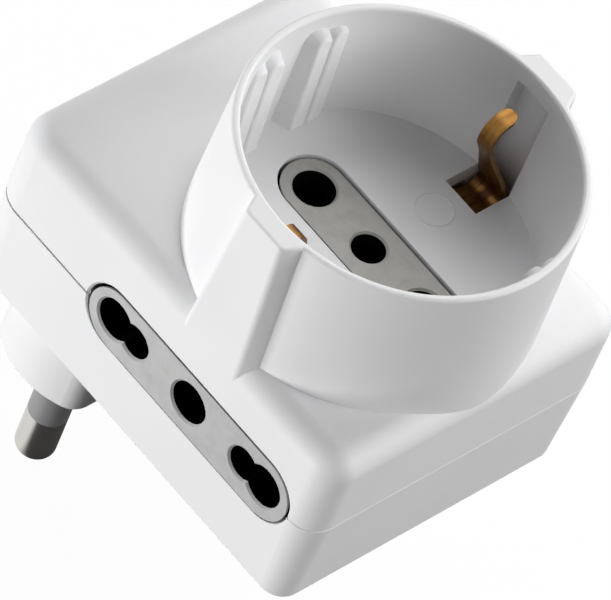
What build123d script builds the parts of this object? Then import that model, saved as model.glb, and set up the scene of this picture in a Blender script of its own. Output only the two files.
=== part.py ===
from build123d import *
from math import radians, tan
import os

# A plug-in multi socket adapter. The plug's earth pin stands on the origin and points down, and the
# round earthed socket opens upwards. Y runs along the row of plug pins. All sizes are in millimetres.

# Plug
pin_pitch = 26.0  # between the line and neutral pins
pin_diameter = 5.0
pin_length = 19.0
pin_tip_round = 1.5
pin_root_diameter = 5.6  # inside the boss
pin_flange_diameter = 7.6
pin_clearance = 0.2  # round the root, on the radius
rivet_diameter = 3.0
rivet_head_diameter = 5.0
rivet_head_height = 0.6
rivet_clearance = 0.2
sleeve_length = 11.6
sleeve_wall = 0.5
sleeve_clearance = 0.15
pin_post_wall = 1.8

# Plug boss, the raised pad that the pins come out of
boss_end_margin = 1.3  # from the body's side in to the end of the boss
boss_width = 14.2
boss_end_radius = 12.0
boss_corner = 3.0
boss_height = 8.8
boss_edge_round = 0.5
boss_face_thickness = 2.4

# Body
plug_to_well = 22.1  # from the plug's row of pins to the well's axis
body_back = 12.8  # from the row of pins to the back face
back_corner = 4.6
front_corner = 3.5
rear_depth = 13.8
rear_draft = 2.6  # degrees, how the rear half narrows towards the plug
front_depth = 12.0
shoulder_round = 3.0
base_round = 0.6
shell_wall = 2.0
parting_groove_width = 0.35
parting_groove_depth = 0.5
parting_bevel = 0.2  # on the rear half's edge at the front face
tongue_thickness = 1.0
tongue_height = 1.5
tongue_length = 24.0
shell_clearance = 0.15

# Round well and the collar round it
well_diameter = 39.0
well_depth = 17.5
well_draft = 0.3  # how much smaller the floor's radius is
collar_wall = 1.0  # at the rim
collar_flare = 0.6  # how much wider the collar's foot is, on the radius
front_margin = 0.15  # how far the front face stands outside the collar's foot
side_margin = 1.3  # the same for the two sides
floor_step = 2.6  # from the shoulder up to the well's floor
floor_thickness = 2.2
rim_round = 0.4

# Guide ribs inside the well, two pairs on the front and two on the back
rib_width = 2.0  # of a rib's face
rib_flare = 25.0  # degrees, how a rib widens from its face back to the wall
rib_pitch = 2.5  # between the two ribs of a pair
rib_first_offset = 3.6  # from the well's middle line to the nearest rib
rib_reach = 2.4  # from the wall to a rib's face, at the well's floor
rib_lean = 3.5  # degrees, how a rib's face leans back into the wall
rib_drop = 2.8  # from the rim down to the top of a rib
rib_edge_round = 0.5

# Housings of the side earth clips, flush with the body's sides
housing_rim_width = 6.1  # of a housing's face at the rim
housing_foot_width = 8.7  # of the same face at the shoulder
housing_flare = 26.0  # degrees, how a housing widens from its face back to the collar
housing_edge_round = 0.8
pocket_width = 5.3
pocket_outer_wall = 1.3
pocket_roof = 2.5
pocket_floor_reach = 5.3

# Inserts with the socket holes
insert_gap = 0.4  # round an insert, to the edge of its slot
insert_flange_margin = 1.2
hole_bevel = 0.25
front_slot_length = 27.8
front_slot_width = 8.8
front_insert_recess = 0.3
front_flange_thickness = 4.0
front_pole_pitch = 19.0
front_pole_hole = 5.1
front_earth_hole = 4.1
side_slot_length = 34.9
side_slot_width = 9.0
side_slot_bevel = 0.25
side_insert_recess = 0.2
side_lower_gap = 0.15  # under a side plate, where it rests near its slot's edge
side_flange_length = 34.0
side_flange_thickness = 1.8
side_small_pitch = 19.0
side_large_pitch = 26.0
side_small_hole = 4.3
side_large_hole = 5.3

# Brass strips that join the plug to the sockets, each on a level of its own
strip_thickness = 0.8
strip_run_width = 5.0
pole_strip_width = 9.0
earth_strip_width = 7.0
pole_strip_offset = 11.0  # from the well's axis to the middle of a pole's strip
strip_end_gap = 3.0  # from a strip's end to the inside of the body's wall
earth_level = 1.0  # above the inside of the body's bottom
line_level = 3.0
neutral_level = 5.0
pad_width = 4.0

# Spring contacts on the strips
contact_thickness = 0.6
contact_gap = 5.4
contact_foot = 3.6
front_contact_width = 4.0
front_contact_headroom = 1.0
side_contact_width = 8.4
side_earth_contact_width = 6.0
side_contact_start = 4.5
side_contact_gap = 1.3  # from a fork's end to the leg of the earth clip

# Side earth clips
clip_thickness = 0.6
clip_leg_width = 8.0
clip_leg_inset = 1.6  # from the well's wall to the leg
clip_leg_hole = 6.4
clip_foot = 3.2
clip_fold_reach = 6.8  # from the leg to the inner end of the fold
clip_fold_height = 3.2  # from the fold's lower sheet to its upper sheet
clip_fold_bend = 1.2
clip_plate_gap = 0.5  # from the fold's upper sheet to the well's floor above it
clip_plate_margin = 1.2  # from the leg back to where the upper sheet narrows
clip_root_offset = 1.4  # from the well's wall out to the corner that the arm rises from
clip_root_bend = 1.6
clip_root_width = 4.6
clip_bulge_reach = 5.5  # from the well's wall to the corner of the bulge
clip_bulge_height = 9.9
clip_bulge_bend = 3.0
clip_curl_inset = 4.8
clip_curl_height = 12.7
clip_curl_bend = 2.0
clip_tip_inset = 2.2
clip_tip_height = 13.4
clip_arm_width = 2.1
clip_taper_height = 7.0  # above the well's floor, where the arm has its full slimness
left_clip_set = 0.8  # how far the near clip's arm has been bent back towards the wall

# Levels and places that follow from the sizes
cut_over = 1.0
bevel_angle = 45.0
outer_pin_y = pin_pitch / 2
bottom_z = boss_height
inner_bottom_z = bottom_z + shell_wall
parting_z = bottom_z + rear_depth
shoulder_z = parting_z + front_depth
inner_top_z = shoulder_z - shell_wall
floor_z = shoulder_z + floor_step
floor_under_z = floor_z - floor_thickness
rim_z = floor_z + well_depth
well_radius = well_diameter / 2
floor_radius = well_radius - well_draft
collar_rim_radius = well_radius + collar_wall
collar_foot_radius = collar_rim_radius + collar_flare
front_x = plug_to_well + collar_foot_radius + front_margin
body_length = body_back + front_x
body_half_width = collar_foot_radius + side_margin
body_width = 2 * body_half_width
boss_length = 2 * (body_half_width - boss_end_margin)
body_centre_x = (front_x - body_back) / 2
inner_side_y = body_half_width - shell_wall
pocket_outer_y = body_half_width - pocket_outer_wall
line_x = plug_to_well - pole_strip_offset
neutral_x = plug_to_well + pole_strip_offset
side_flange_height = side_slot_width + 2 * insert_flange_margin
side_seat_y = inner_side_y - side_flange_height / 2 * tan(radians(rear_draft))
side_flange_y = side_seat_y - side_flange_thickness
side_face_y = body_half_width - side_insert_recess
front_pole = front_pole_pitch / 2  # from the well's axis to a pole's hole
clip_leg_y = floor_radius - clip_leg_inset


def block(x0, x1, y0, y1, z0, z1):
    """A box between two corners."""
    centre = Pos((x0 + x1) / 2, (y0 + y1) / 2, (z0 + z1) / 2)
    return centre * Box(x1 - x0, y1 - y0, z1 - z0)


def post(x, y, z0, z1, diameter):
    """An upright cylinder."""
    return Pos(x, y, (z0 + z1) / 2) * Cylinder(diameter / 2, z1 - z0)


def body_outline(inset):
    """The body's outline with its rounded corners, drawn in by an inset."""
    outline = Rectangle(body_length - 2 * inset, body_width - 2 * inset)
    outline = fillet(outline.vertices().group_by(Axis.X)[0], back_corner - inset)
    return fillet(outline.vertices().group_by(Axis.X)[-1], front_corner - inset)


def body_block(z0, z1, inset=0.0):
    """The body's outline, drawn in by an inset, between two levels."""
    return Pos(body_centre_x, 0, z0) * extrude(body_outline(inset), amount=z1 - z0)


def rear_block(depth, inset=0.0, draft=rear_draft):
    """A block down from the parting plane: the body's outline, drawn in by an inset, with a draft."""
    return Pos(body_centre_x, 0, parting_z) * extrude(body_outline(inset), amount=-depth, taper=draft)


def parting_gap():
    """What is cut from the rear half at the parting plane: a groove, and a bevel on the front face."""
    low_z = parting_z - parting_groove_width
    groove = body_block(low_z, parting_z + cut_over)
    groove -= body_block(low_z - cut_over, parting_z + 2 * cut_over, parting_groove_depth)
    bevel = body_block(parting_z - parting_bevel, parting_z)
    bevel -= rear_block(parting_bevel, parting_bevel, -bevel_angle)
    front = block(
        front_x - front_corner,
        front_x + cut_over,
        -body_width,
        body_width,
        low_z - cut_over,
        parting_z + 2 * cut_over,
    )
    return [groove - front, bevel & front]


def boss_block(z0, z1, inset=0.0):
    """The plug boss's outline with its curved ends, drawn in by an inset, between two levels."""
    length = boss_length - 2 * inset
    ends = Rot(0, 0, 90) * SlotOverall(length, 2 * (boss_end_radius - inset))
    outline = Rectangle(boss_width - 2 * inset, length) & ends
    outline = fillet(outline.vertices(), boss_corner)
    return Pos(0, 0, z0) * extrude(outline, amount=z1 - z0)


def side_plane(y, side):
    """A plane across Y at the side sockets' middle, facing outwards on the given side."""
    return Plane(origin=(plug_to_well, side * y, parting_z), x_dir=(-side, 0, 0), z_dir=(0, side, 0))


def side_slot_cut(side):
    """The round-ended opening of a side socket, with a bevel at its outer edge."""
    through = side_plane(inner_side_y - cut_over, side) * extrude(
        SlotOverall(side_slot_length, side_slot_width), amount=shell_wall + 2 * cut_over
    )
    mouth = SlotOverall(side_slot_length + 2 * side_slot_bevel, side_slot_width + 2 * side_slot_bevel)
    bevel = extrude(mouth, amount=-side_slot_bevel, taper=bevel_angle)
    return through + side_plane(body_half_width, side) * bevel


def clip_housing(foot_z):
    """A housing on the collar's +Y side: its face narrows to the rim, and its sides widen to the collar."""
    rim_half = housing_rim_width / 2
    slope = (housing_foot_width / 2 - rim_half) / (rim_z - shoulder_z)
    foot_half = rim_half + slope * (rim_z - foot_z)
    face = Polygon(
        (-rim_half, rim_z), (-foot_half, foot_z), (foot_half, foot_z), (rim_half, rim_z), align=None
    )
    depth = body_half_width - floor_radius + collar_wall
    housing = Pos(0, body_half_width, 0) * extrude(Plane.XZ * face, amount=depth, taper=-housing_flare)
    face_edges = housing.edges().group_by(Axis.Y)[-1].sort_by(Axis.X)
    housing = fillet([face_edges[0], face_edges[-1]], housing_edge_round)
    return housing & block(-body_length, body_length, 0, body_half_width, foot_z, rim_z)


def collar_block():
    """The flared collar and the two clip housings, before the well is cut."""
    foot_z = shoulder_z - shoulder_round - cut_over
    height = rim_z - foot_z
    collar = Pos(plug_to_well, 0, (foot_z + rim_z) / 2) * Cone(collar_foot_radius, collar_rim_radius, height)
    for facing in (0, 180):
        collar += Pos(plug_to_well, 0, 0) * Rot(0, 0, facing) * clip_housing(foot_z)
    return collar


def well_cut():
    """The well, a little narrower at its floor."""
    return Pos(plug_to_well, 0, (floor_z + rim_z) / 2) * Cone(floor_radius, well_radius, well_depth)


def guide_ribs():
    """Ribs with round tops that stand on the well's floor, lean back into its wall and widen towards it."""
    half = rib_width / 2
    foot = floor_thickness / 2
    round_z = well_depth - rib_drop - half
    outline = Pos(0, (round_z - foot) / 2) * Rectangle(rib_width, round_z + foot)
    outline += Pos(0, round_z) * Circle(half)
    rib = extrude(Plane.YZ * outline, amount=rib_reach + collar_wall, taper=-rib_flare)
    rib = fillet(rib.edges().group_by(Axis.X)[0], rib_edge_round)
    space = post(0, 0, -foot, well_depth, 2 * (floor_radius + collar_wall / 2))
    ribs = []
    for offset in (rib_first_offset, rib_first_offset + rib_pitch):
        for y in (-offset, offset):
            leaning = Pos(floor_radius - rib_reach, y, 0) * Rot(0, rib_lean, 0) * rib
            trimmed = leaning & space
            for facing in (0, 180):
                ribs.append(Pos(plug_to_well, 0, floor_z) * Rot(0, 0, facing) * trimmed)
    return ribs


def clip_pocket(side):
    """The recess of a side earth clip, open to the well and down through its floor."""
    half = pocket_width / 2
    inner_y = floor_radius - pocket_floor_reach
    low_y, high_y = sorted((side * inner_y, side * pocket_outer_y))
    return block(
        plug_to_well - half, plug_to_well + half, low_y, high_y, inner_top_z - cut_over, rim_z - pocket_roof
    )


def make_front_shell():
    """The front half of the body, with the collar, the well and its ribs."""
    body = body_block(parting_z, shoulder_z)
    body = fillet(body.edges().group_by(Axis.Z)[-1], shoulder_round)
    shell = body + collar_block()
    shell -= body_block(parting_z - cut_over, inner_top_z, shell_wall)
    shell -= post(plug_to_well, 0, inner_top_z - cut_over, floor_under_z, 2 * (floor_radius - collar_wall))
    shell -= well_cut()
    shell = fillet(shell.edges().group_by(Axis.Z)[-1], rim_round)
    for rib in guide_ribs():
        shell += rib
    slot = SlotOverall(front_slot_length, front_slot_width)
    slot_z = floor_under_z - cut_over
    shell -= Pos(plug_to_well, 0, slot_z) * extrude(slot, amount=floor_thickness + 2 * cut_over)
    for side in (-1, 1):
        shell -= clip_pocket(side)
        shell -= side_slot_cut(side)
    return shell


def strip_pads():
    """Pads on the body's bottom that carry the ends of the strips."""
    y1 = inner_side_y - strip_end_gap
    y0 = y1 - pad_width
    pads = []
    half = pad_width / 2
    foot_z = bottom_z + shell_wall / 2
    for x, level in ((line_x, line_level), (plug_to_well, earth_level), (neutral_x, neutral_level)):
        for low_y, high_y in ((-y1, -y0), (y0, y1)):
            pads.append(block(x - half, x + half, low_y, high_y, foot_z, inner_bottom_z + level))
    return pads


def make_rear_shell():
    """The rear half of the body with the hollow plug boss, its pin posts and the strips' pads."""
    body = rear_block(rear_depth)
    body = fillet(body.edges().group_by(Axis.Z)[0], base_round)
    boss = boss_block(0, bottom_z + shell_wall / 2)
    boss = fillet(boss.edges().group_by(Axis.Z)[0], boss_edge_round)
    shell = body + boss
    shell -= rear_block(rear_depth - shell_wall, shell_wall)
    shell -= boss_block(boss_face_thickness, inner_bottom_z + cut_over, shell_wall)
    root_hole = pin_root_diameter + 2 * pin_clearance
    for y in (-outer_pin_y, 0, outer_pin_y):
        shell += post(0, y, boss_face_thickness / 2, inner_bottom_z, root_hole + 2 * pin_post_wall)
    for y in (-outer_pin_y, 0, outer_pin_y):
        shell -= post(0, y, -cut_over, inner_bottom_z + cut_over, root_hole)
    for pad in strip_pads():
        shell += pad
    for gap in parting_gap():
        shell -= gap
    half = tongue_length / 2
    back_x = shell_wall - body_back + shell_clearance
    lead_x = front_x - shell_wall - shell_clearance
    tongue_foot_z = parting_z - 2 * tongue_height
    for x0, x1 in ((back_x, back_x + tongue_thickness), (lead_x - tongue_thickness, lead_x)):
        shell += block(x0, x1, -half, half, tongue_foot_z, parting_z + tongue_height)
    for wall_x0, wall_x1 in ((back_x - shell_wall / 2, back_x), (lead_x, lead_x + shell_wall / 2)):
        shell += block(wall_x0, wall_x1, -half, half, tongue_foot_z, parting_z - parting_groove_width)
    for side in (-1, 1):
        shell -= side_slot_cut(side)
    return shell


def hole_mouth(diameter):
    """The bevel at the mouth of a hole, from the plate's face inwards."""
    return extrude(Circle(diameter / 2 + hole_bevel), amount=-hole_bevel, taper=bevel_angle)


def make_front_insert():
    """The plate with the round socket's holes, with a block that seats under the well's floor."""
    top_z = floor_z - front_insert_recess
    face = SlotOverall(front_slot_length - 2 * insert_gap, front_slot_width - 2 * insert_gap)
    plate = Pos(plug_to_well, 0, floor_under_z) * extrude(face, amount=top_z - floor_under_z)
    half_x = front_slot_length / 2 + insert_flange_margin
    half_y = front_slot_width / 2 + insert_flange_margin
    flange_z = floor_under_z - front_flange_thickness
    insert = plate + block(
        plug_to_well - half_x, plug_to_well + half_x, -half_y, half_y, flange_z, floor_under_z
    )
    for offset, diameter in (
        (-front_pole, front_pole_hole),
        (0, front_earth_hole),
        (front_pole, front_pole_hole),
    ):
        insert -= post(plug_to_well + offset, 0, flange_z - cut_over, top_z + cut_over, diameter)
        insert -= Pos(plug_to_well + offset, 0, top_z) * hole_mouth(diameter)
    return insert


def make_side_insert(side):
    """The two-pitch plate of a side socket, with a flange that seats inside the body's side."""
    plate_width = side_slot_width - insert_gap - side_lower_gap
    off_centre = Pos(0, (side_lower_gap - insert_gap) / 2)
    face = off_centre * SlotOverall(side_slot_length - 2 * insert_gap, plate_width)
    plate = side_plane(side_seat_y, side) * extrude(face, amount=side_face_y - side_seat_y)
    flange = side_plane(side_seat_y, side) * extrude(
        Rectangle(side_flange_length, side_flange_height), amount=-side_flange_thickness
    )
    insert = plate + flange
    holes = [(0, side_large_hole)]
    for way in (-1, 1):
        holes.append((way * side_small_pitch / 2, side_small_hole))
        holes.append((way * side_large_pitch / 2, side_large_hole))
    depth = side_face_y - side_flange_y + 2 * cut_over
    for offset, diameter in holes:
        drill = side_plane(side_flange_y - cut_over, side) * Pos(offset, 0, 0)
        insert -= drill * extrude(Circle(diameter / 2), amount=depth)
        insert -= side_plane(side_face_y, side) * Pos(offset, 0, 0) * hole_mouth(diameter)
    return insert


def make_pin(y, level, sleeved):
    """A plug pin with its root, a flange on the post and a rivet through its strip."""
    strip_z = inner_bottom_z + level
    head_z = strip_z + strip_thickness
    rod = post(0, y, -pin_length, 0, pin_diameter)
    pin = fillet(rod.edges().group_by(Axis.Z)[0], pin_tip_round)
    if sleeved:
        waist = pin_diameter - 2 * (sleeve_wall + sleeve_clearance)
        pin -= post(0, y, -sleeve_length, cut_over, pin_diameter + cut_over)
        pin += post(0, y, -sleeve_length, 0, waist)
    pin += post(0, y, 0, inner_bottom_z, pin_root_diameter)
    pin += post(0, y, inner_bottom_z, strip_z, pin_flange_diameter)
    pin += post(0, y, strip_z, head_z, rivet_diameter)
    pin += post(0, y, head_z, head_z + rivet_head_height, rivet_head_diameter)
    return pin


def make_sleeve(y):
    """The insulating sleeve round the root half of a live pin."""
    sleeve = post(0, y, -sleeve_length, 0, pin_diameter)
    return sleeve - post(0, y, -sleeve_length - cut_over, cut_over, pin_diameter - 2 * sleeve_wall)


def make_strip(pin_y, x, width, level):
    """A brass strip: a run from its pin, and a bar along Y under one pole of all the sockets."""
    low_z = inner_bottom_z + level
    high_z = low_z + strip_thickness
    end_y = inner_side_y - strip_end_gap
    half_run = strip_run_width / 2
    run = block(-half_run, x, pin_y - half_run, pin_y + half_run, low_z, high_z)
    bar = block(x - width / 2, x + width / 2, -end_y, end_y, low_z, high_z)
    hole = post(0, pin_y, low_z - cut_over, high_z + cut_over, rivet_diameter + 2 * rivet_clearance)
    return run + bar - hole


def make_front_contact(x, level):
    """An upright spring fork for one hole of the round socket."""
    low_z = inner_bottom_z + level + strip_thickness
    high_z = floor_under_z - front_flange_thickness - front_contact_headroom
    half_y = front_contact_width / 2
    inner = contact_gap / 2
    outer = inner + contact_thickness
    fork = block(x - outer, x + outer, -half_y, half_y, low_z, low_z + contact_thickness)
    fork += block(x - outer, x - inner, -half_y, half_y, low_z, high_z)
    fork += block(x + inner, x + outer, -half_y, half_y, low_z, high_z)
    return fork


def make_side_contact(x, width, level, side):
    """A lying spring fork for one pole of a side socket, on a bent foot."""
    low_z = inner_bottom_z + level + strip_thickness
    inner = contact_gap / 2
    outer = inner + contact_thickness
    wall_y = side_contact_start + contact_thickness
    end_y = clip_leg_y - clip_thickness / 2 - side_contact_gap
    x0 = x - width / 2
    x1 = x + width / 2

    def leaf(y0, y1, z0, z1):
        """One flat stretch of the fork, on the contact's own side of the well's axis."""
        first, last = sorted((side * y0, side * y1))
        return block(x0, x1, first, last, z0, z1)

    fork = leaf(side_contact_start, side_contact_start + contact_foot, low_z, low_z + contact_thickness)
    fork += leaf(side_contact_start, wall_y, low_z, parting_z + outer)
    fork += leaf(side_contact_start, end_y, parting_z + inner, parting_z + outer)
    fork += leaf(side_contact_start, end_y, parting_z - outer, parting_z - inner)
    return fork


def clip_path(bent_back):
    """The bent line of a side earth clip across the well: foot, leg, fold, arm, bulge and curl."""
    arm_y = floor_radius + bent_back
    foot_z = inner_bottom_z + earth_level + strip_thickness + clip_thickness / 2
    plate_z = floor_under_z - clip_plate_gap - clip_thickness / 2
    fold_z = plate_z - clip_fold_height
    fold_y = clip_leg_y - clip_fold_reach
    return FilletPolyline(
        (clip_leg_y - clip_foot, foot_z),
        (clip_leg_y, foot_z),
        (clip_leg_y, fold_z),
        (fold_y, fold_z),
        (fold_y, plate_z),
        (floor_radius + clip_root_offset, plate_z),
        (arm_y - clip_bulge_reach, floor_z + clip_bulge_height),
        (arm_y - clip_curl_inset, floor_z + clip_curl_height),
        (arm_y - clip_tip_inset, floor_z + clip_tip_height),
        radius=4 * [clip_fold_bend] + [clip_root_bend, clip_bulge_bend, clip_curl_bend],
    )


def make_clip(side):
    """A side earth clip: a wide leg folded under the well's floor, and a slim arm with a round tip."""
    bent_back = left_clip_set if side < 0 else 0.0
    profile = Plane.YZ * trace(clip_path(bent_back), clip_thickness)
    half_leg = clip_leg_width / 2
    half_root = clip_root_width / 2
    half_arm = clip_arm_width / 2
    far_y = body_half_width
    wide = block(-half_leg, half_leg, 0, far_y, 0, inner_top_z - cut_over)
    wide += block(-half_leg, half_leg, 0, clip_leg_y - clip_plate_margin, 0, floor_under_z)
    leg = extrude(profile, amount=half_leg, both=True) & wide
    leg -= Pos(0, far_y / 2, parting_z) * Rot(90, 0, 0) * Cylinder(clip_leg_hole / 2, far_y)
    taper_z = floor_z + clip_taper_height
    plate_low_z = floor_under_z - clip_plate_gap - clip_thickness
    front_view = Polygon(
        (-half_root, plate_low_z),
        (half_root, plate_low_z),
        (half_root, floor_z),
        (half_arm, taper_z),
        (half_arm, rim_z),
        (-half_arm, rim_z),
        (-half_arm, taper_z),
        (-half_root, floor_z),
        align=None,
    )
    arm = extrude(profile, amount=half_root, both=True)
    arm &= extrude(Plane.XZ * front_view, amount=far_y, both=True)
    tip_y = floor_radius + bent_back - clip_tip_inset
    corners = block(-half_arm, half_arm, tip_y - half_arm, tip_y + half_arm, taper_z, rim_z)
    arm -= corners - post(0, tip_y - half_arm, taper_z, rim_z, clip_arm_width)
    turn = 0 if side > 0 else 180
    return Pos(plug_to_well, 0, 0) * Rot(0, 0, turn) * (leg + arm)


poles = {
    "line": (-outer_pin_y, line_x, pole_strip_width, line_level, -front_pole, side_contact_width),
    "earth": (0, plug_to_well, earth_strip_width, earth_level, 0, side_earth_contact_width),
    "neutral": (outer_pin_y, neutral_x, pole_strip_width, neutral_level, front_pole, side_contact_width),
}
sides = {"left": -1, "right": 1}

nodes = {
    "rear_shell": make_rear_shell(),
    "front_shell": make_front_shell(),
    "front_socket_insert": make_front_insert(),
}
for pole, (pin_y, strip_x, strip_width, level, hole_offset, fork_width) in poles.items():
    live = pole != "earth"
    nodes[f"plug_{pole}_pin"] = make_pin(pin_y, level, live)
    if live:
        nodes[f"{pole}_pin_sleeve"] = make_sleeve(pin_y)
    nodes[f"{pole}_strip"] = make_strip(pin_y, strip_x, strip_width, level)
    nodes[f"front_{pole}_contact"] = make_front_contact(plug_to_well + hole_offset, level)
    for name, side in sides.items():
        nodes[f"{name}_{pole}_contact"] = make_side_contact(strip_x, fork_width, level, side)
for name, side in sides.items():
    nodes[f"{name}_socket_insert"] = make_side_insert(side)
    nodes[f"{name}_earth_clip"] = make_clip(side)

os.makedirs("parts", exist_ok=True)
for name, solid in nodes.items():
    export_step(solid, f"parts/{name}.step")
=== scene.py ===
"""A plug-in multi socket adapter: the finishes of its shells, inserts, pins, springs and strips, a moulded
ring in its well, and a white studio with the camera."""

from math import cos, pi, radians, sin

import bpy
import numpy as np
from bpy.props import FloatProperty, FloatVectorProperty, PointerProperty
from bpy.types import Operator, Panel, PropertyGroup
from mathutils import Matrix, Vector


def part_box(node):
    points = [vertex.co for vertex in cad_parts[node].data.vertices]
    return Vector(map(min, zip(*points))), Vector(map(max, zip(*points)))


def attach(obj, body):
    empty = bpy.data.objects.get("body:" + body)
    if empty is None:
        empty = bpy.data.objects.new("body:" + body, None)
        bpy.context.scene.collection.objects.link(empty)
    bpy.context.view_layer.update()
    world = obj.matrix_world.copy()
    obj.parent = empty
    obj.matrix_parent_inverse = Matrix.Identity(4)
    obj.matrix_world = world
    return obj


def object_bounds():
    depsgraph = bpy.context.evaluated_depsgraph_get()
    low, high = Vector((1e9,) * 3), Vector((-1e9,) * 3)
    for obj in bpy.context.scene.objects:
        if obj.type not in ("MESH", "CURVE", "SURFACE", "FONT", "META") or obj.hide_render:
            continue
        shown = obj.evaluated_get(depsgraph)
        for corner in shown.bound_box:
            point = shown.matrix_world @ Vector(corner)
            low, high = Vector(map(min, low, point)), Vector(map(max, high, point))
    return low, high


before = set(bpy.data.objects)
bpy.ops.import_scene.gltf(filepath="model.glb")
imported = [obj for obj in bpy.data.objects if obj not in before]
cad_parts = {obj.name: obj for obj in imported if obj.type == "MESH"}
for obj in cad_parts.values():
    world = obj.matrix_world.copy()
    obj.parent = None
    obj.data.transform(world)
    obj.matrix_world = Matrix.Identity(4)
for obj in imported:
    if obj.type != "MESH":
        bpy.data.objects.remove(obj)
cad_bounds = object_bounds()

bl_info = {
    "name": "Multi socket adapter",
    "version": (1, 0, 0),
    "blender": (4, 5, 0),
    "location": "3D View > Sidebar > Adapter",
    "description": "Dresses the packed adapter and sets up its studio",
    "category": "Object",
}

SHELLS = ("rear_shell", "front_shell")
INSERTS = {
    "front_socket_insert": (0.0, 0.0, 1.0),
    "left_socket_insert": (0.0, -1.0, 0.0),
    "right_socket_insert": (0.0, 1.0, 0.0),
}  # each with the way its face looks
PINS = ("plug_line_pin", "plug_earth_pin", "plug_neutral_pin")
SLEEVES = ("line_pin_sleeve", "neutral_pin_sleeve")
STRIPS = ("line_strip", "earth_strip", "neutral_strip")
CONTACTS = tuple(
    f"{place}_{pole}_contact" for place in ("front", "left", "right") for pole in ("line", "earth", "neutral")
)
CLIPS = ("left_earth_clip", "right_earth_clip")
MM = 0.001
MICRON = 0.000001
INSERT_RECESS = 0.3 * MM  # how far the front insert's face lies below the well's floor
RING_STEPS = 96  # points round the moulded ring
RIDGE_STEPS = 16  # points round the section of its ridge
FLOOR_REACH = 6.0  # half the floor's width, in metres
# Painted shadow in mirrors: past this edge, along X, the floor that metal mirrors turns dark where the part's
# shadow would lie.
MIRROR_EDGE = (-1.0 * MM, 1.5 * MM)  # where the floor's white fades in mirrors, along X
SENSOR_WIDTH = 36.0  # in millimetres
LAMP_DISTANCE = 0.9  # from the aim, in metres
LAMPS = {
    "key_lamp": (-24.0, -11.0, 0.5, 0.5),
    "front_lamp": (116.0, 29.0, 0.6, 0.6),
    "back_lamp": (-164.0, 41.0, 0.8, 0.6),
    "plug_lamp": (-114.0, 54.0, 0.6, 0.6),
}  # each with its azimuth and elevation in degrees, and its width and height in metres


def colour(name, description, default):
    """A colour property in linear light."""
    return FloatVectorProperty(
        name=name, description=description, subtype="COLOR", size=3, min=0.0, max=1.0, default=default
    )


def length(name, description, default):
    """A length property in metres."""
    return FloatProperty(
        name=name, description=description, unit="LENGTH", min=0.0, precision=5, default=default
    )


def share(name, description, default):
    """A property between nought and one."""
    return FloatProperty(
        name=name, description=description, subtype="FACTOR", min=0.0, max=1.0, default=default
    )


def turn(name, description, degrees):
    """An angle property, its default given in degrees."""
    return FloatProperty(name=name, description=description, subtype="ANGLE", default=radians(degrees))


def power(name, description, default):
    """A lamp's power property in watts."""
    return FloatProperty(name=name, description=description, unit="POWER", min=0.0, default=default)


class ShellSettings(PropertyGroup):
    """The white plastic of the two shells."""

    white: colour("White", "The plastic's own colour", (0.80, 0.80, 0.806))
    cool_white: colour("Cool white", "The tone it drifts to in broad patches", (0.775, 0.776, 0.786))
    roughness: share("Roughness", "How matt the moulded surface is", 0.55)
    grain: length("Grain", "Size of the fine moulded grain", 0.00045)


class InsertSettings(PropertyGroup):
    """The grey plastic of the socket inserts, and the painted black shade in their holes."""

    front_grey: colour("Front grey", "Plastic of the round socket's plate", (0.36, 0.355, 0.335))
    side_grey: colour("Side grey", "Plastic of the side sockets' plates", (0.47, 0.47, 0.468))
    mottle: share("Mottle", "How much of its light the plastic loses in its darkest mottling", 0.14)
    roughness: share("Roughness", "How matt the plates are", 0.46)
    grain: length("Grain", "Size of the fine moulded grain", 0.0003)
    # Painted shade: the black that stands in for the shade inside the holes and behind the grey faces.
    core: colour("Core", "Black plastic behind the faces and in the holes", (0.006, 0.006, 0.006))
    # Depth below the face where the painted shade begins.
    skin: length("Skin", "Thickness of the grey face over the black core", 0.00027)


class MetalSettings(PropertyGroup):
    """The plug pins, their sleeves, the springs and the strips."""

    nickel: colour("Nickel", "Plating of the pins", (0.68, 0.66, 0.62))
    sleeve: colour("Sleeve", "Plastic of the pins' sleeves", (0.21, 0.21, 0.215))
    brass: colour("Brass", "Bare brass of strips and forks", (0.66, 0.46, 0.20))
    film: share("Film", "How much the brown film covers the brass where it is thickest", 0.35)
    bronze: colour("Bronze", "Spring bronze of the earth clips", (0.235, 0.125, 0.034))
    tarnish: colour("Tarnish", "Brown film on the brass and bronze", (0.17, 0.07, 0.02))
    # The colour that the clips darken to towards the well's floor.
    colour_towards_floor: colour("Soot", "Dark film on the clips' lower parts", (0.09, 0.030, 0.011))
    draw_line: length("Drawing lines", "Spacing of the fine lines along the pins", 0.00012)


class RingSettings(PropertyGroup):
    """The plain ring moulded on the well's floor."""

    diameter: length("Diameter", "Across the middle of the ridge", 0.0046)
    ridge: length("Ridge", "Width of the ridge", 0.00036)
    height: length("Height", "How far the ridge stands up", 0.00011)
    place: FloatVectorProperty(
        name="Place", description="The ring's middle, along X and Y", subtype="XYZ", unit="LENGTH", size=2,
        precision=5, default=(0.02183, 0.01004),
    )


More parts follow.
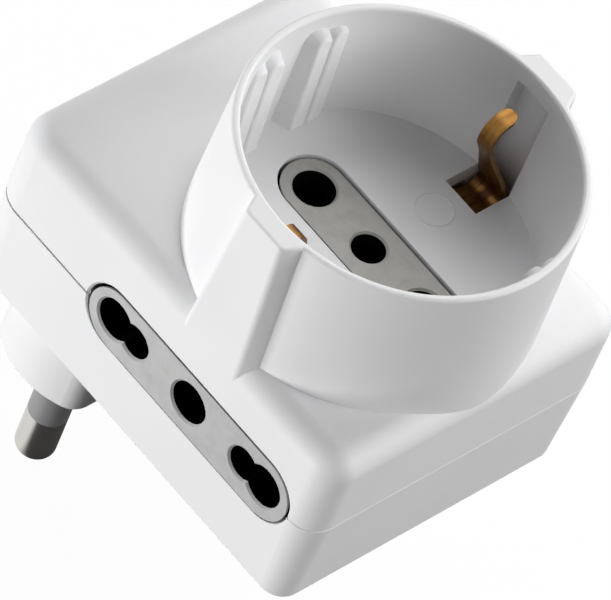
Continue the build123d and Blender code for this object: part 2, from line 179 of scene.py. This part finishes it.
class StageSettings(PropertyGroup):
    """The floor, the lamps and the camera."""

    floor: colour("Floor", "Colour of the floor", (0.85, 0.85, 0.85))
    floor_bounce: colour("Floor bounce", "Its colour in the light that it throws back", (0.08, 0.08, 0.08))
    floor_glow: share("Floor glow", "How much of the floor is plain white to the camera", 0.97)
    # Painted reflection: in mirrors the floor is white behind the plug and a painted shadow under the part.
    mirror_glow: share("Mirror glow", "The same in mirrors, on the floor behind the plug", 0.9)
    mirror_shade: share("Mirror shade", "The same on the rest of the floor", 0.02)
    ambient: share("Ambient", "Strength of the white surroundings", 0.04)
    key_lamp: power("Key lamp", "Low lamp beside the near socket, that shines up through the floor", 9.7)
    front_lamp: power("Front lamp", "Lamp before the round socket's end", 6.9)
    back_lamp: power("Back lamp", "Lamp behind the far socket", 3.4)
    plug_lamp: power("Plug lamp", "High lamp on the plug's end", 3.3)
    azimuth: turn("Azimuth", "Camera's turn from -Y towards +X", 30.296)
    elevation: turn("Elevation", "Camera's height above the horizon", 49.517)
    roll: turn("Roll", "Camera's lean to its right", 24.180)
    distance: length("Distance", "From the aim to the camera", 1.12252)
    aim: FloatVectorProperty(
        name="Aim", description="What the camera looks at", subtype="XYZ", unit="LENGTH", size=3, precision=5,
        default=(0.015667, 0.003009, 0.017488),
    )
    lens: FloatProperty(name="Lens", description="Focal length on a 36 mm wide sensor, in mm", default=589.14)


class Wire:
    """A node's output that takes part in Python arithmetic: every operator adds one Math node."""

    def __init__(self, tree, socket):
        self.tree = tree
        self.socket = socket

    def __add__(self, other):
        return self.tree.math("ADD", self, other)

    __radd__ = __add__

    def __sub__(self, other):
        return self.tree.math("SUBTRACT", self, other)

    def __rsub__(self, other):
        return self.tree.math("SUBTRACT", other, self)

    def __mul__(self, other):
        return self.tree.math("MULTIPLY", self, other)

    __rmul__ = __mul__


class Tree:
    """A node tree that is filled by expressions."""

    def __init__(self, owner):
        owner.use_nodes = True
        self.nodes = owner.node_tree.nodes
        self.links = owner.node_tree.links
        self.nodes.clear()

    def node(self, kind, settings, inputs, output=0):
        """Adds a node of a kind: first its settings, then values or wires for its sockets, and returns
        the wire of one of its outputs. A socket is named by its name or identifier."""
        made = self.nodes.new(kind)
        for key, value in settings.items():
            setattr(made, key, value)
        for key, value in inputs.items():
            socket = next(s for s in made.inputs if key in (s.identifier, s.name) and s.enabled)
            if isinstance(value, Wire):
                self.links.new(value.socket, socket)
            else:
                socket.default_value = value
        if not made.outputs:
            return made
        if isinstance(output, int):
            return Wire(self, made.outputs[output])
        return Wire(self, next(s for s in made.outputs if output in (s.identifier, s.name) and s.enabled))

    def math(self, operation, first, second):
        """One Math node."""
        made = self.nodes.new("ShaderNodeMath")
        made.operation = operation
        for socket, value in zip(made.inputs, (first, second)):
            if isinstance(value, Wire):
                self.links.new(value.socket, socket)
            else:
                socket.default_value = value
        return Wire(self, made.outputs[0])

    def place(self):
        """The position on the piece, in metres."""
        return self.node("ShaderNodeTexCoord", {}, {}, "Object")

    def stretched(self, place, scale):
        """A position scaled along each axis."""
        return self.node("ShaderNodeMapping", {}, {"Vector": place, "Scale": scale})

    def noise(self, place, size, detail=2.0, rough=0.5):
        """Smooth noise between nought and one whose patches have the given size in metres."""
        return self.node(
            "ShaderNodeTexNoise", {},
            {"Vector": place, "Scale": 1.0 / size, "Detail": detail, "Roughness": rough},
        )

    def band(self, value, low, high):
        """Nought below one value, one above another and smooth between them."""
        return self.node(
            "ShaderNodeMapRange", {"interpolation_type": "SMOOTHSTEP"},
            {"Value": value, "From Min": low, "From Max": high},
        )

    def mixed(self, share, first, second):
        """One colour giving way to another."""
        return self.node(
            "ShaderNodeMix", {"data_type": "RGBA"},
            {"Factor_Float": share, "A_Color": opaque(first), "B_Color": opaque(second)}, "Result_Color",
        )

    def relief(self, height, depth):
        """A normal that follows a height between nought and one, scaled to a depth in metres."""
        return self.node("ShaderNodeBump", {}, {"Height": height, "Distance": depth, "Strength": 1.0})

    def surface(self, inputs):
        """The shader and the output."""
        shader = self.node("ShaderNodeBsdfPrincipled", {}, inputs)
        self.node("ShaderNodeOutputMaterial", {}, {"Surface": shader})


def opaque(value):
    """A colour with full alpha, or the wire as it is."""
    return value if isinstance(value, Wire) else (*value, 1.0)


def material(name):
    """A fresh material and its tree."""
    made = bpy.data.materials.new(name)
    return made, Tree(made)


def dress(names, finish):
    """Gives CAD nodes their finish."""
    for name in names:
        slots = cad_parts[name].data.materials
        slots.clear()
        slots.append(finish)


def white_plastic(settings):
    """Satin white plastic: broad drifts of tone and gloss, and a fine moulded grain."""
    finish, tree = material("white_plastic")
    place = tree.place()
    drift = tree.noise(place, 18.0 * MM)
    grain = tree.noise(place, settings.grain, 3.0)
    tree.surface({
        "Base Color": tree.mixed(tree.band(drift, 0.35, 0.7), settings.white, settings.cool_white),
        "Roughness": settings.roughness + 0.08 * (drift - 0.5) + 0.07 * (grain - 0.5),
        "Normal": tree.relief(grain, 7.0 * MICRON),
        "Specular IOR Level": 0.3,
    })
    return finish


def grey_plastic(settings, name, grey, outward, face):
    """Satin grey plastic, lightly mottled, with a fine grain, that turns to a painted black shade below a
    thin face layer, standing in for the shade in the holes and behind the faces: the depth below the face is
    the face's level less the position along the outward axis."""
    finish, tree = material(name)
    place = tree.place()
    mottle = tree.noise(place, 2.2 * MM, 4.0, 0.6)
    grain = tree.noise(place, settings.grain, 3.0)
    level = tree.node(
        "ShaderNodeVectorMath", {"operation": "DOT_PRODUCT"},
        {"Vector": place, "Vector_001": outward}, "Value",
    )
    darker = tuple((1.0 - settings.mottle) * c for c in grey)
    skin = tree.node("ShaderNodeBsdfPrincipled", {}, {
        "Base Color": tree.mixed(tree.band(mottle, 0.35, 0.75), grey, darker),
        "Roughness": settings.roughness + 0.12 * (mottle - 0.5),
        "Normal": tree.relief(grain, 10.0 * MICRON),
    })
    core = tree.node("ShaderNodeBsdfPrincipled", {}, {
        "Base Color": opaque(settings.core), "Roughness": 0.9, "Specular IOR Level": 0.0,
    })
    # Painted shade: below the thin face layer the colour turns black, for the shade inside the holes.
    depth = tree.band(face - level, 0.9 * settings.skin, settings.skin)
    both = tree.node("ShaderNodeMixShader", {}, {"Fac": depth, "Shader": skin, "Shader_001": core})
    tree.node("ShaderNodeOutputMaterial", {}, {"Surface": both})
    return finish


def sleeve_plastic(settings):
    """Grey plastic with a fine grain."""
    finish, tree = material("sleeve_plastic")
    place = tree.place()
    patch = tree.noise(place, 3.0 * MM)
    grain = tree.noise(place, 0.2 * MM, 3.0)
    lighter = tuple(1.15 * c for c in settings.sleeve)
    tree.surface({
        "Base Color": tree.mixed(patch, settings.sleeve, lighter),
        "Roughness": 0.34 + 0.14 * patch,
        "Normal": tree.relief(grain, 8.0 * MICRON),
    })
    return finish


def nickel(settings):
    """Plated pins: fine lines along the pin and soft differences of gloss."""
    finish, tree = material("nickel")
    place = tree.place()
    lines = tree.noise(tree.stretched(place, (1.0, 1.0, 0.02)), settings.draw_line, 2.0)
    patch = tree.noise(place, 4.0 * MM)
    duller = tuple(0.86 * c for c in settings.nickel)
    tree.surface({
        "Base Color": tree.mixed(patch, settings.nickel, duller),
        "Metallic": 1.0,
        "Roughness": 0.16 + 0.10 * patch + 0.08 * lines,
        "Normal": tree.relief(lines, 3.0 * MICRON),
    })
    return finish


def stamped_brass(settings):
    """Bare stamped brass: a brown film in patches, rolling lines and a soft gloss."""
    finish, tree = material("brass")
    place = tree.place()
    patch = tree.noise(place, 3.5 * MM, 4.0, 0.6)
    lines = tree.noise(tree.stretched(place, (1.0, 1.0, 0.04)), 0.2 * MM, 2.0)
    tarnished = settings.film * tree.band(patch, 0.42, 0.78)
    tree.surface({
        "Base Color": tree.mixed(tarnished, settings.brass, settings.tarnish),
        "Metallic": 1.0,
        "Roughness": 0.22 + 0.22 * tarnished + 0.08 * lines,
        "Normal": tree.relief(lines, 4.0 * MICRON),
    })
    return finish


def spring_bronze(settings, level):
    """Bronze that is clean at the arms' tips and darker towards a level near the well's floor, with fine
    streaks along the strip."""
    finish, tree = material("bronze")
    place = tree.place()
    height = tree.node("ShaderNodeSeparateXYZ", {}, {"Vector": place}, "Z")
    streaks = tree.noise(tree.stretched(place, (1.0, 0.12, 0.12)), 0.6 * MM, 3.0, 0.6)
    patch = tree.noise(place, 2.2 * MM, 3.0)
    ragged = height + 4.0 * MM * (patch - 0.5)
    # Darker towards the well's floor, in streaks.
    low = 1.0 - tree.band(ragged, level - 1.0 * MM, level + 3.6 * MM)
    film = low * (0.3 + 0.7 * tree.band(streaks, 0.42, 0.58))
    clean = tree.mixed(tree.band(streaks, 0.4, 0.75), settings.bronze, settings.tarnish)
    tree.surface({
        "Base Color": tree.mixed(film, clean, settings.colour_towards_floor),
        "Metallic": 1.0 - 0.3 * film,
        "Roughness": 0.30 + 0.16 * film + 0.10 * streaks,
        "Normal": tree.relief(streaks, 10.0 * MICRON),
    })
    return finish


def closed_grid(name, points, finish):
    """A mesh piece from a grid of points that closes in both directions."""
    rows, columns = points.shape[:2]
    row, column = np.meshgrid(np.arange(rows), np.arange(columns), indexing="ij")
    after_row = (row + 1) % rows
    after_column = (column + 1) % columns
    corners = [
        row * columns + column,
        after_row * columns + column,
        after_row * columns + after_column,
        row * columns + after_column,
    ]
    quads = np.stack(corners, axis=-1).reshape(-1, 4)
    mesh = bpy.data.meshes.new(name)
    mesh.from_pydata(points.reshape(-1, 3).tolist(), [], quads.tolist())
    mesh.polygons.foreach_set("use_smooth", np.ones(len(quads), dtype=bool))
    mesh.materials.append(finish)
    mesh.update()
    piece = bpy.data.objects.new(name, mesh)
    bpy.context.scene.collection.objects.link(piece)
    return piece


def whole_turn(steps):
    """Angles all round in equal steps."""
    return np.linspace(0, 2 * pi, steps, endpoint=False)


def ring_points(settings, level):
    """A torus with an oval section, half sunk in the floor. Round the ring by u and round the section by v:
    radius = half the diameter + half the ridge times cos v, height = level + ridge height times sin v."""
    u, v = np.meshgrid(whole_turn(RING_STEPS), whole_turn(RIDGE_STEPS), indexing="ij")
    radius = settings.diameter / 2 + settings.ridge / 2 * np.cos(v)
    x = settings.place[0] + radius * np.cos(u)
    y = settings.place[1] + radius * np.sin(u)
    return np.stack([x, y, level + settings.height * np.sin(v)], axis=-1)


def well_floor():
    """The height of the well's floor."""
    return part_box("front_socket_insert")[1].z + INSERT_RECESS


class ADAPTER_OT_shells(Operator):
    """Finish the two shells in satin white plastic"""

    bl_idname = "adapter.shells"
    bl_label = "Shells"

    def execute(self, context):
        dress(SHELLS, white_plastic(context.scene.adapter_shells))
        return {"FINISHED"}


class ADAPTER_OT_inserts(Operator):
    """Finish the socket inserts in grey plastic"""

    bl_idname = "adapter.inserts"
    bl_label = "Socket inserts"

    def execute(self, context):
        settings = context.scene.adapter_inserts
        for name, outward in INSERTS.items():
            outward = Vector(outward)
            face = max(outward.dot(corner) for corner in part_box(name))
            grey = settings.front_grey if outward.z else settings.side_grey
            dress([name], grey_plastic(settings, f"grey_plastic_{name}", grey, outward, face))
        return {"FINISHED"}


class ADAPTER_OT_pins(Operator):
    """Finish the plug pins in nickel and their sleeves in grey plastic"""

    bl_idname = "adapter.pins"
    bl_label = "Plug pins"

    def execute(self, context):
        settings = context.scene.adapter_metals
        dress(PINS, nickel(settings))
        dress(SLEEVES, sleeve_plastic(settings))
        return {"FINISHED"}


class ADAPTER_OT_brass(Operator):
    """Finish the hidden strips and forks in brass"""

    bl_idname = "adapter.brass"
    bl_label = "Strips and forks"

    def execute(self, context):
        settings = context.scene.adapter_metals
        dress(STRIPS + CONTACTS, stamped_brass(settings))
        return {"FINISHED"}


class ADAPTER_OT_clips(Operator):
    """Finish the earth clips in spring bronze"""

    bl_idname = "adapter.clips"
    bl_label = "Earth clips"

    def execute(self, context):
        settings = context.scene.adapter_metals
        dress(CLIPS, spring_bronze(settings, well_floor()))
        return {"FINISHED"}


class ADAPTER_OT_mould_ring(Operator):
    """Add the plain ring on the well's floor"""

    bl_idname = "adapter.mould_ring"
    bl_label = "Mould ring"

    def execute(self, context):
        settings = context.scene.adapter_ring
        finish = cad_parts["front_shell"].data.materials[0]
        ring = closed_grid("mould_ring", ring_points(settings, well_floor()), finish)
        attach(ring, "root")
        return {"FINISHED"}


def ray_kinds(tree):
    """Wires that are one where a ray comes from the camera, from a mirror or through clear matter."""
    path = tree.nodes.new("ShaderNodeLightPath")
    return [Wire(tree, path.outputs[f"Is {kind} Ray"]) for kind in ("Camera", "Glossy", "Transmission")]


def floor_finish(settings):
    """A pale floor with little bounce: to the camera it is plain white but for a trace of the shadow, in
    mirrors it is white behind the plug and fades to a painted shadow under the part, and from below it is
    clear."""
    finish, tree = material("floor")
    camera, glossy, through = ray_kinds(tree)
    across = tree.node("ShaderNodeSeparateXYZ", {}, {"Vector": tree.place()}, "X")
    # Painted shadow in mirrors: one behind the plug, nought under the part, where its shadow would lie on the
    # floor.
    mirror_unshaded_share = 1.0 - tree.band(across, *MIRROR_EDGE)
    mirrored = settings.mirror_shade + (settings.mirror_glow - settings.mirror_shade) * mirror_unshaded_share
    glowing = settings.floor_glow * camera + mirrored * (glossy + through)
    paint = tree.mixed(camera, settings.floor_bounce, settings.floor)
    matt = tree.node("ShaderNodeBsdfDiffuse", {}, {"Color": paint})
    glow = tree.node("ShaderNodeEmission", {}, {"Color": (1.0, 1.0, 1.0, 1.0), "Strength": 1.0})
    both = tree.node("ShaderNodeMixShader", {}, {"Fac": glowing, "Shader": matt, "Shader_001": glow})
    clear = tree.node("ShaderNodeBsdfTransparent", {}, {})
    below = tree.node("ShaderNodeNewGeometry", {}, {}, "Backfacing")
    table = tree.node("ShaderNodeMixShader", {}, {"Fac": below, "Shader": both, "Shader_001": clear})
    tree.node("ShaderNodeOutputMaterial", {}, {"Surface": table})
    return finish


def white_world(settings):
    """Even white surroundings: plain white where they are seen or mirrored, dimmer where they light."""
    world = bpy.data.worlds.new("studio")
    tree = Tree(world)
    camera, glossy, through = ray_kinds(tree)
    strength = settings.ambient + (1.0 - settings.ambient) * (camera + glossy + through)
    back = tree.node("ShaderNodeBackground", {}, {"Color": (1.0, 1.0, 1.0, 1.0), "Strength": strength})
    tree.node("ShaderNodeOutputWorld", {}, {"Surface": back})
    bpy.context.scene.world = world


def aimed(eye, aim, roll):
    """The matrix of an object at eye that looks at aim along its own -Z, rolled about that line."""
    away = (eye - aim).normalized()
    right = Vector((0.0, 0.0, 1.0)).cross(away).normalized()
    up = away.cross(right)
    turned_right = cos(roll) * right + sin(roll) * up
    turned_up = cos(roll) * up - sin(roll) * right
    return Matrix.Translation(eye) @ Matrix((turned_right, turned_up, away)).transposed().to_4x4()


def direction(azimuth, elevation):
    """A unit vector, turned from -Y towards +X and raised above the horizon."""
    return Vector((cos(elevation) * sin(azimuth), -cos(elevation) * cos(azimuth), sin(elevation)))


def soft_lamp(name, watts, azimuth, elevation, width, height, aim):
    """A rectangular lamp that faces the part."""
    lamp = bpy.data.lights.new(name, "AREA")
    lamp.energy = watts
    lamp.shape = "RECTANGLE"
    lamp.size = width
    lamp.size_y = height
    piece = bpy.data.objects.new(name, lamp)
    eye = aim + LAMP_DISTANCE * direction(radians(azimuth), radians(elevation))
    piece.matrix_world = aimed(eye, aim, 0.0)
    bpy.context.scene.collection.objects.link(piece)


class ADAPTER_OT_stage(Operator):
    """Set up the floor, the lamps, the surroundings and the camera"""

    bl_idname = "adapter.stage"
    bl_label = "Stage"

    def execute(self, context):
        scene = context.scene
        settings = scene.adapter_stage
        level = cad_bounds[0][2]
        mesh = bpy.data.meshes.new("floor")
        ways = ((-1, -1), (1, -1), (1, 1), (-1, 1))
        mesh.from_pydata([(FLOOR_REACH * x, FLOOR_REACH * y, level) for x, y in ways], [], [(0, 1, 2, 3)])
        mesh.materials.append(floor_finish(settings))
        floor = bpy.data.objects.new("floor", mesh)
        scene.collection.objects.link(floor)
        floor.visible_shadow = False
        white_world(settings)
        aim = Vector(settings.aim)
        for name, place in LAMPS.items():
            soft_lamp(name, getattr(settings, name), *place, aim)
        camera = bpy.data.cameras.new("camera")
        camera.sensor_width = SENSOR_WIDTH
        camera.sensor_fit = "HORIZONTAL"
        camera.lens = settings.lens
        camera.clip_start = 0.01
        camera.clip_end = 50.0
        eye = aim + settings.distance * direction(settings.azimuth, settings.elevation)
        holder = bpy.data.objects.new("camera", camera)
        holder.matrix_world = aimed(eye, aim, settings.roll)
        scene.collection.objects.link(holder)
        scene.camera = holder
        scene.view_settings.view_transform = "Standard"
        return {"FINISHED"}


OPERATORS = (
    ADAPTER_OT_shells,
    ADAPTER_OT_inserts,
    ADAPTER_OT_pins,
    ADAPTER_OT_brass,
    ADAPTER_OT_clips,
    ADAPTER_OT_mould_ring,
    ADAPTER_OT_stage,
)
SETTINGS = {
    "adapter_shells": ShellSettings,
    "adapter_inserts": InsertSettings,
    "adapter_metals": MetalSettings,
    "adapter_ring": RingSettings,
    "adapter_stage": StageSettings,
}


class ADAPTER_PT_sidebar(Panel):
    """The adapter's pieces and their settings"""

    bl_label = "Adapter"
    bl_space_type = "VIEW_3D"
    bl_region_type = "UI"
    bl_category = "Adapter"

    def draw(self, context):
        for operator in OPERATORS:
            self.layout.operator(operator.bl_idname)
        for name in SETTINGS:
            group = getattr(context.scene, name)
            for key in group.bl_rna.properties.keys():
                if key not in ("rna_type", "name"):
                    self.layout.prop(group, key)


def register():
    """Adds the settings, the operators and the panel to Blender."""
    for group in SETTINGS.values():
        bpy.utils.register_class(group)
    for name, group in SETTINGS.items():
        setattr(bpy.types.Scene, name, PointerProperty(type=group))
    for operator in OPERATORS:
        bpy.utils.register_class(operator)
    bpy.utils.register_class(ADAPTER_PT_sidebar)


def unregister():
    """Takes them away again."""
    bpy.utils.unregister_class(ADAPTER_PT_sidebar)
    for operator in reversed(OPERATORS):
        bpy.utils.unregister_class(operator)
    for name in SETTINGS:
        delattr(bpy.types.Scene, name)
    for group in reversed(SETTINGS.values()):
        bpy.utils.unregister_class(group)


def main():
    """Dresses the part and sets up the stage."""
    register()
    bpy.ops.adapter.shells()
    bpy.ops.adapter.inserts()
    bpy.ops.adapter.pins()
    bpy.ops.adapter.brass()
    bpy.ops.adapter.clips()
    bpy.ops.adapter.mould_ring()
    bpy.ops.adapter.stage()


if __name__ == "__main__":
    main()
